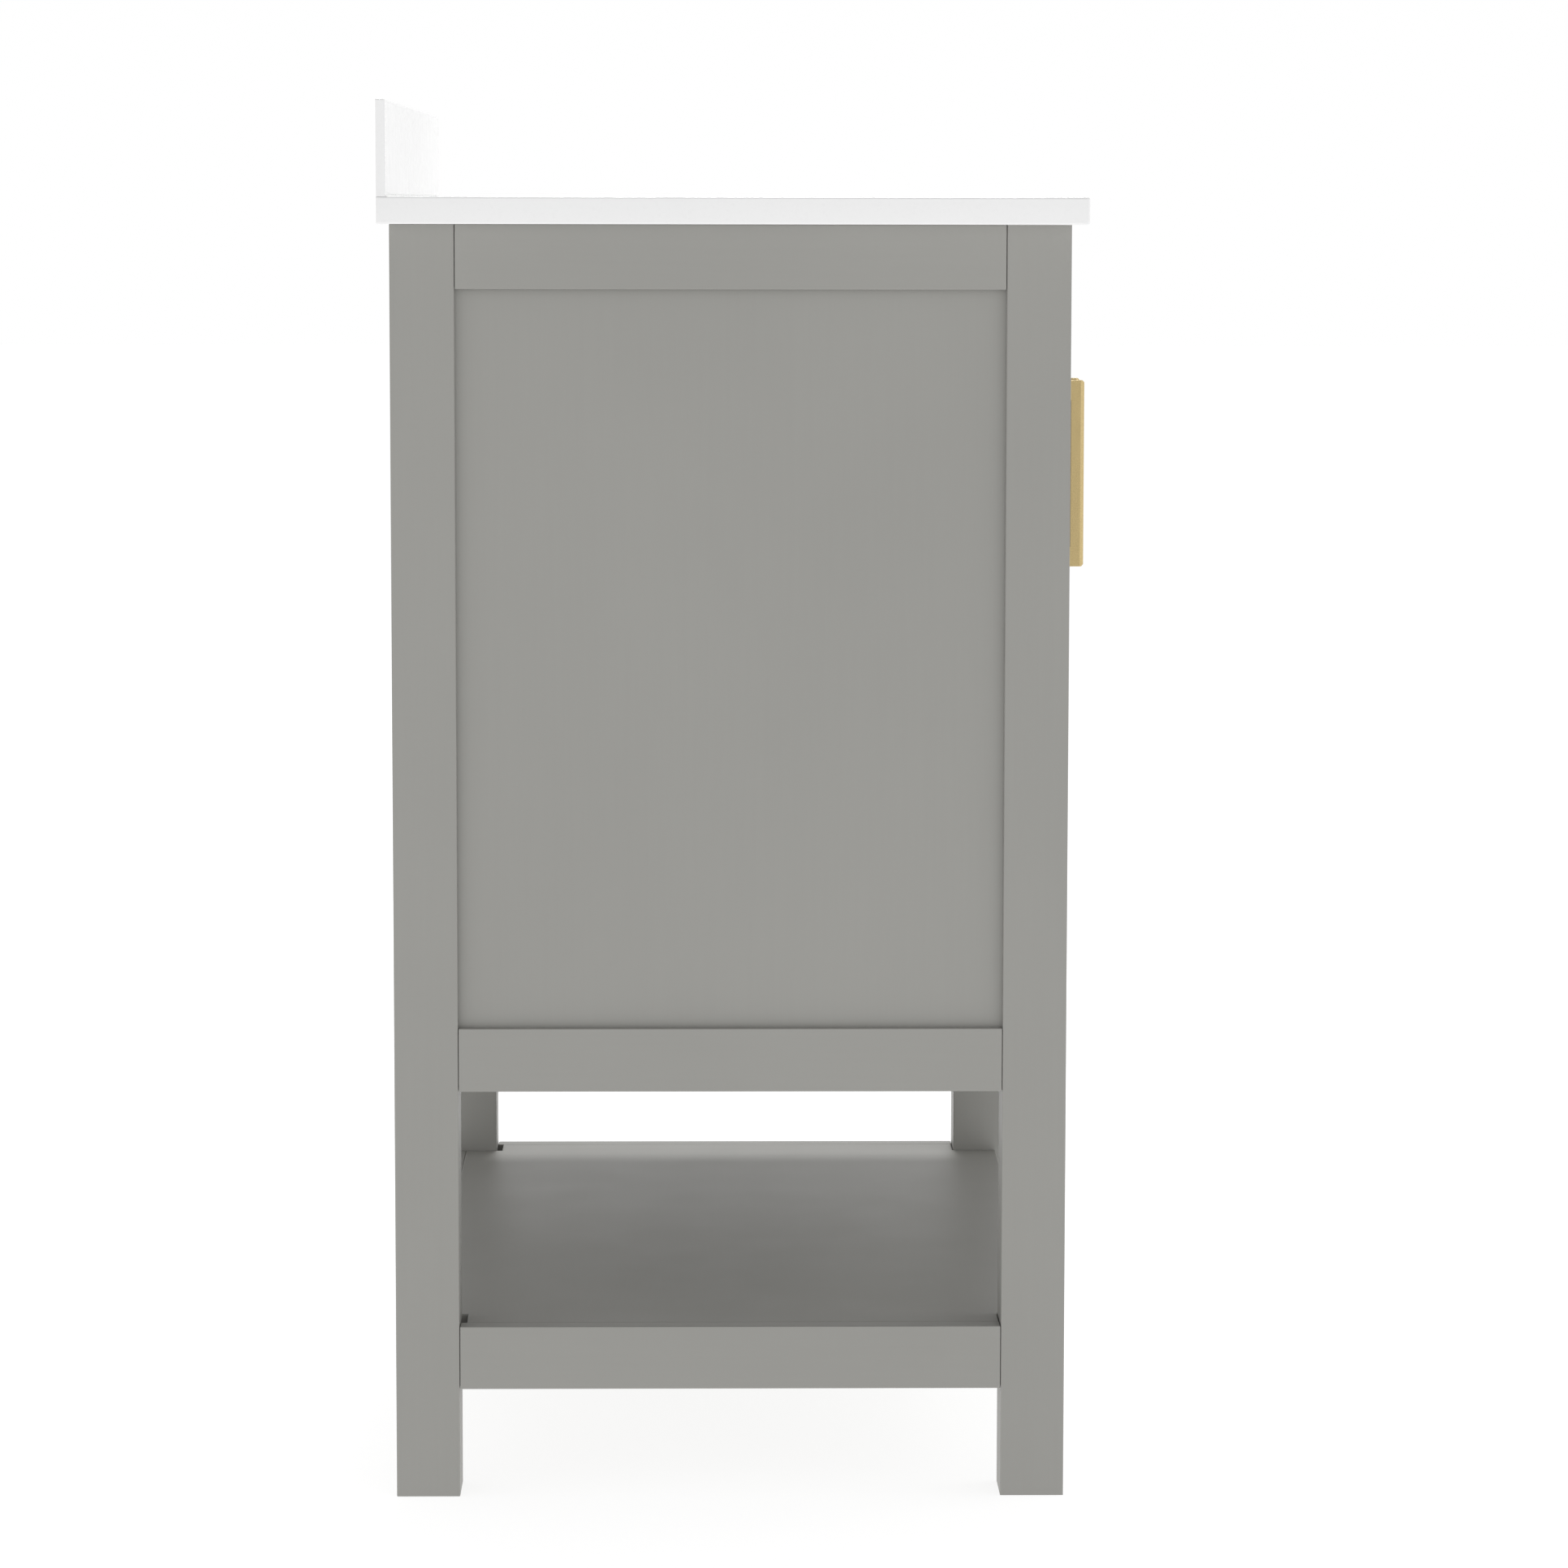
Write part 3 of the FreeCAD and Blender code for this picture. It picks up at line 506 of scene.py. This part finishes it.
def screw_tree():
    """One screw at each point, turned so that its head looks along the point's facing."""
    tree = bpy.data.node_groups.new("set_screws", "GeometryNodeTree")
    socket_list(tree, ["Geometry"], "NodeSocketGeometry")
    socket_list(tree, ["Head Radius", "Neck Radius", "Head Height", "Shank Radius",
                       "Shank Length"], "NodeSocketFloat")
    socket_list(tree, ["Finish"], "NodeSocketMaterial")
    socket_list(tree, ["Geometry"], "NodeSocketGeometry", "OUTPUT")
    make = tree.nodes.new
    start, end = make("NodeGroupInput"), make("NodeGroupOutput")

    def half(value):
        node = make("ShaderNodeMath")
        node.operation = "MULTIPLY"
        node.inputs[1].default_value = -0.5
        tree.links.new(value, node.inputs[0])
        return node.outputs[0]

    def along(value):
        node = make("ShaderNodeCombineXYZ")
        tree.links.new(value, node.inputs["Z"])
        return node.outputs[0]

    # head: its outer face at zero, its neck below
    head = make("GeometryNodeMeshCone")
    head.inputs["Vertices"].default_value = 32
    tree.links.new(start.outputs["Head Radius"], head.inputs["Radius Top"])
    tree.links.new(start.outputs["Neck Radius"], head.inputs["Radius Bottom"])
    tree.links.new(start.outputs["Head Height"], head.inputs["Depth"])
    head_low = make("GeometryNodeTransform")
    drop = make("ShaderNodeMath")
    drop.operation = "MULTIPLY"
    drop.inputs[1].default_value = -1.0
    tree.links.new(start.outputs["Head Height"], drop.inputs[0])
    tree.links.new(head.outputs["Mesh"], head_low.inputs["Geometry"])
    tree.links.new(along(drop.outputs[0]), head_low.inputs["Translation"])

    # shank below the head
    shank = make("GeometryNodeMeshCylinder")
    shank.inputs["Vertices"].default_value = 20
    tree.links.new(start.outputs["Shank Radius"], shank.inputs["Radius"])
    tree.links.new(start.outputs["Shank Length"], shank.inputs["Depth"])
    shank_low = make("GeometryNodeTransform")
    below = make("ShaderNodeMath")
    below.operation = "SUBTRACT"
    tree.links.new(half(start.outputs["Shank Length"]), below.inputs[0])
    tree.links.new(start.outputs["Head Height"], below.inputs[1])
    tree.links.new(shank.outputs["Mesh"], shank_low.inputs["Geometry"])
    tree.links.new(along(below.outputs[0]), shank_low.inputs["Translation"])

    # cross recess cut out of the head
    recess = []
    for size in ((RECESS_LONG, RECESS_THIN, RECESS_DEEP), (RECESS_THIN, RECESS_LONG, RECESS_DEEP)):
        blade = make("GeometryNodeMeshCube")
        blade.inputs["Size"].default_value = size
        recess.append(blade.outputs["Mesh"])
    hollow = make("GeometryNodeMeshBoolean")
    hollow.operation = "DIFFERENCE"
    hollow.solver = "EXACT"
    tree.links.new(head_low.outputs["Geometry"], hollow.inputs["Mesh 1"])
    for blade in recess:
        tree.links.new(blade, hollow.inputs["Mesh 2"])
    screw = make("GeometryNodeJoinGeometry")
    tree.links.new(hollow.outputs["Mesh"], screw.inputs["Geometry"])
    tree.links.new(shank_low.outputs["Geometry"], screw.inputs["Geometry"])

    facing = make("GeometryNodeInputNamedAttribute")
    facing.data_type = "FLOAT_VECTOR"
    facing.inputs["Name"].default_value = "facing"
    aim = make("FunctionNodeAlignRotationToVector")
    aim.axis = "Z"
    tree.links.new(facing.outputs["Attribute"], aim.inputs["Vector"])
    put = make("GeometryNodeInstanceOnPoints")
    real = make("GeometryNodeRealizeInstances")
    paint = make("GeometryNodeSetMaterial")
    tree.links.new(start.outputs["Geometry"], put.inputs["Points"])
    tree.links.new(screw.outputs["Geometry"], put.inputs["Instance"])
    tree.links.new(aim.outputs["Rotation"], put.inputs["Rotation"])
    tree.links.new(put.outputs["Instances"], real.inputs["Geometry"])
    tree.links.new(real.outputs["Geometry"], paint.inputs["Geometry"])
    tree.links.new(start.outputs["Finish"], paint.inputs["Material"])
    tree.links.new(paint.outputs["Geometry"], end.inputs["Geometry"])
    return tree


screws = screw_tree()
PAN_HEAD = {"Head Radius": 0.0038, "Neck Radius": 0.0040, "Head Height": 0.0024,
            "Shank Radius": 0.0019}
FLAT_HEAD = {"Head Radius": 0.0032, "Neck Radius": 0.0015, "Head Height": 0.0022,
             "Shank Radius": 0.0014}
TIP_GAP = 0.0002           # a detailed screw is this much shorter than its plain one


def solid_boxes(node_name):
    """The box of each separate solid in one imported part."""
    work = bmesh.new()
    work.from_mesh(nodes[node_name].data)
    bmesh.ops.remove_doubles(work, verts=work.verts, dist=SAME_POINT)
    left = set(work.verts)
    boxes = []
    while left:
        reached = [left.pop()]
        island = []
        while reached:
            vert = reached.pop()
            island.append(vert.co.copy())
            for edge in vert.link_edges:
                other = edge.other_vert(vert)
                if other in left:
                    left.remove(other)
                    reached.append(other)
        low = Vector([min(point[axis] for point in island) for axis in range(3)])
        high = Vector([max(point[axis] for point in island) for axis in range(3)])
        boxes.append((low, high))
    work.free()
    return sorted(boxes, key=lambda pair: tuple(round(value, 4) for value in pair[0]))


def set_screws(node_name, kind, facing):
    """Swaps one packed set of plain screws for detailed ones, heads looking along facing."""
    aim = Vector(facing)
    axis = max(range(3), key=lambda index: abs(aim[index]))
    spots, length = [], 0.0
    for low, high in solid_boxes(node_name):
        spot = (low + high) / 2
        spot[axis] = high[axis] if aim[axis] > 0 else low[axis]
        spots.append(spot)
        length = high[axis] - low[axis]
    seed = bpy.data.meshes.new(f"{node_name}_spots")
    seed.from_pydata(spots, [], [])
    direction = seed.attributes.new("facing", "FLOAT_VECTOR", "POINT")
    for number in range(len(spots)):
        direction.data[number].vector = aim
    values = dict(kind, Finish=screw_zinc)
    values["Shank Length"] = length - kind["Head Height"] - TIP_GAP
    piece = grown(f"{node_name}_set", seed, screws, values)
    stands_for(piece, node_name)


set_screws("block_screws", PAN_HEAD, (0, 0, -1))
set_screws("clip_screws", PAN_HEAD, (0, 0, -1))
for side, sign in SIDES.items():
    set_screws(f"handle_screws_{side}", PAN_HEAD, (0, 1, 0))
    set_screws(f"hinge_arm_screws_{side}", FLAT_HEAD, (-sign, 0, 0))
    set_screws(f"hinge_cup_screws_{side}", FLAT_HEAD, (0, 1, 0))


# ---- Doors -------------------------------------------------------------------------------------
# Two inset framed doors: stiles, rails and a thin recessed panel, all painted like the frame.
# They close flush with the legs and rails and meet in the middle.

for side in SIDES:
    finish_board(f"hinge_stile_{side}", lacquer[UPRIGHT])
    finish_board(f"meeting_stile_{side}", lacquer[UPRIGHT])
    finish_board(f"door_rail_top_{side}", lacquer[ALONG_WIDTH])
    finish_board(f"door_rail_bottom_{side}", lacquer[ALONG_WIDTH])
    finish_board(f"door_panel_{side}", lacquer[UPRIGHT], easing=0)


# ---- Pulls -------------------------------------------------------------------------------------
# Upright bar pulls of pale gold metal with a wide bevel along both front edges, brushed along
# their length. Each stands on two posts, screwed from inside the door.

def brushed_gold():
    """Pale gold plating brushed along the bar: fine upright scratches and a grainy satin."""
    material, tree, shader = start_material("brushed_gold")
    gold = (0.60, 0.468, 0.234)
    brushing = noise(tree, place_texture(tree, (2600.0, 2600.0, 60.0)), 1.0, detail=4.0)
    grain = noise(tree, place_texture(tree), 1400.0, detail=3.0)
    tone = ramp(tree, grain, [(0.3, scaled(gold, 0.86)), (0.7, scaled(gold, 1.08))])
    tree.links.new(tone, shader.inputs["Base Color"])
    tree.links.new(spread(tree, brushing, 0.30, 0.46), shader.inputs["Roughness"])
    relief = bump(tree, brushing, 0.00002, 0.5)
    tree.links.new(bump(tree, grain, 0.00003, 0.4, under=relief), shader.inputs["Normal"])
    shader.inputs["Metallic"].default_value = 1.0
    return material


PULL_EDGE = 0.0003
gold_metal = brushed_gold()
for side in SIDES:
    pull = from_frame(f"handle_{side}", f"pull_{side}", gold_metal, sharp=20.0)
    ease_edges(pull, PULL_EDGE, 2, 35, harden=True)
    stands_for(pull, f"handle_{side}")


# ---- Hinges ------------------------------------------------------------------------------------
# Concealed hinges of nickel-plated pressed steel: an arm screwed to the leg, two links and a cup
# sunk into the door's stile.

HINGE_EDGE = 0.00015
hinge_nickel = zinc("hinge_nickel", (0.70, 0.69, 0.67), 0.24)
for side in SIDES:
    for kind in ("hinge_arms", "hinge_first_links", "hinge_second_links", "hinge_cups"):
        piece = from_frame(f"{kind}_{side}", f"{kind}_{side}_steel", hinge_nickel)
        ease_edges(piece, HINGE_EDGE, 1, 45, harden=True)
        stands_for(piece, f"{kind}_{side}")


# ---- Floor, light and camera -------------------------------------------------------------------
# Not part of the cabinet: a plain pale floor, an even white studio and two large soft lights.

REACH = 30.0               # half the floor's length
FLOOR_GLOW = 0.79          # keeps the open floor white and its shadows faint
floor_mesh = bpy.data.meshes.new("studio_floor")
floor_mesh.from_pydata(
    [(-REACH, -REACH, 0), (REACH, -REACH, 0), (REACH, REACH, 0), (-REACH, REACH, 0)],
    [], [(0, 1, 2, 3)])
floor_paint, floor_tree, floor_shader = start_material("studio_floor")
pale = noise(floor_tree, place_texture(floor_tree), 0.6)
floor_tone = ramp(floor_tree, pale, [
    (0.3, (0.405, 0.405, 0.405)), (0.7, (0.415, 0.415, 0.415))])
floor_tree.links.new(floor_tone, floor_shader.inputs["Base Color"])
floor_shader.inputs["Emission Color"].default_value = (1.0, 1.0, 1.0, 1.0)
floor_shader.inputs["Emission Strength"].default_value = FLOOR_GLOW
floor_shader.inputs["Roughness"].default_value = 0.9
floor_shader.inputs["Specular IOR Level"].default_value = 0.0
floor_mesh.materials.append(floor_paint)
studio_floor = bpy.data.objects.new("studio_floor", floor_mesh)
bpy.context.scene.collection.objects.link(studio_floor)

OPEN_SIDE = 1.0            # brightness of the studio's walls
DULL_SIDE = 0.09           # how much less comes from straight out at the left
OVERHEAD = 0.15            # brightness straight above


def studio_world():
    """A white studio that falls off gently towards the left wall and overhead."""
    world = bpy.data.worlds.new("studio")
    world.use_nodes = True
    tree = world.node_tree
    coordinates = add(tree, "ShaderNodeTexCoord")
    parts = add(tree, "ShaderNodeSeparateXYZ")
    tree.links.new(coordinates.outputs["Generated"], parts.inputs["Vector"])

    def squared_share(axis, end):
        share = add(tree, "ShaderNodeMapRange",
                    {"From Min": 0.0, "From Max": end, "To Min": 0.0, "To Max": 1.0})
        tree.links.new(parts.outputs[axis], share.inputs["Value"])
        squared = add(tree, "ShaderNodeMath", {1: 2.0}, operation="POWER")
        tree.links.new(share.outputs["Result"], squared.inputs[0])
        return squared.outputs[0]

    side = add(tree, "ShaderNodeMapRange", {"To Min": OPEN_SIDE, "To Max": OPEN_SIDE - DULL_SIDE})
    tree.links.new(squared_share("X", -1.0), side.inputs["Value"])
    level = add(tree, "ShaderNodeMix", {"B": OVERHEAD}, data_type="FLOAT")
    tree.links.new(squared_share("Z", 1.0), level.inputs["Factor"])
    tree.links.new(side.outputs["Result"], level.inputs["A"])
    sky = tree.nodes["Background"]
    sky.inputs["Color"].default_value = (1.0, 1.0, 1.0, 1.0)
    tree.links.new(level.outputs["Result"], sky.inputs["Strength"])
    return world


bpy.context.scene.world = studio_world()


def soft_light(name, spot, target, size, power):
    """A large square lamp aimed at a point."""
    lamp = bpy.data.lights.new(name, "AREA")
    lamp.shape = "SQUARE"
    lamp.size = size
    lamp.energy = power
    holder = bpy.data.objects.new(name, lamp)
    bpy.context.scene.collection.objects.link(holder)
    holder.location = spot
    holder.rotation_euler = (Vector(target) - Vector(spot)).to_track_quat("-Z", "Y").to_euler()


soft_light("front_light", spot=(0.6, -4.6, 3.0), target=(0, 0, 0.5), size=3.4, power=29)
soft_light("top_light", spot=(2.15, -0.1, 4.2), target=(0.2, 0, 0.3), size=0.9, power=86)

LENS, SENSOR = 122.87, 36.0                           # millimetres
CAMERA_SPOT = (-4.0235, 0.0359, 0.895)
PAN_ANGLE, TILT, ROLL = -0.0163, -0.10799, 0.00146    # radians, from looking along +X

camera_data = bpy.data.cameras.new("camera")
camera = bpy.data.objects.new("camera", camera_data)
bpy.context.scene.collection.objects.link(camera)
bpy.context.scene.camera = camera
camera_data.sensor_width = SENSOR
camera_data.lens = LENS
camera_data.clip_start = 0.05
camera_data.clip_end = 200.0
ahead = Vector((math.cos(TILT) * math.cos(PAN_ANGLE), math.cos(TILT) * math.sin(PAN_ANGLE),
                math.sin(TILT)))
level = ahead.cross(Vector((0, 0, 1))).normalized()
upward = level.cross(ahead)
across = math.cos(ROLL) * level + math.sin(ROLL) * upward
upward = across.cross(ahead)
turn = Matrix((across, upward, -ahead)).transposed()
camera.matrix_world = Matrix.Translation(CAMERA_SPOT) @ turn.to_4x4()

scene = bpy.context.scene
scene.view_settings.view_transform = "Standard"
scene.view_settings.look = "None"
scene.view_settings.exposure = 0.0
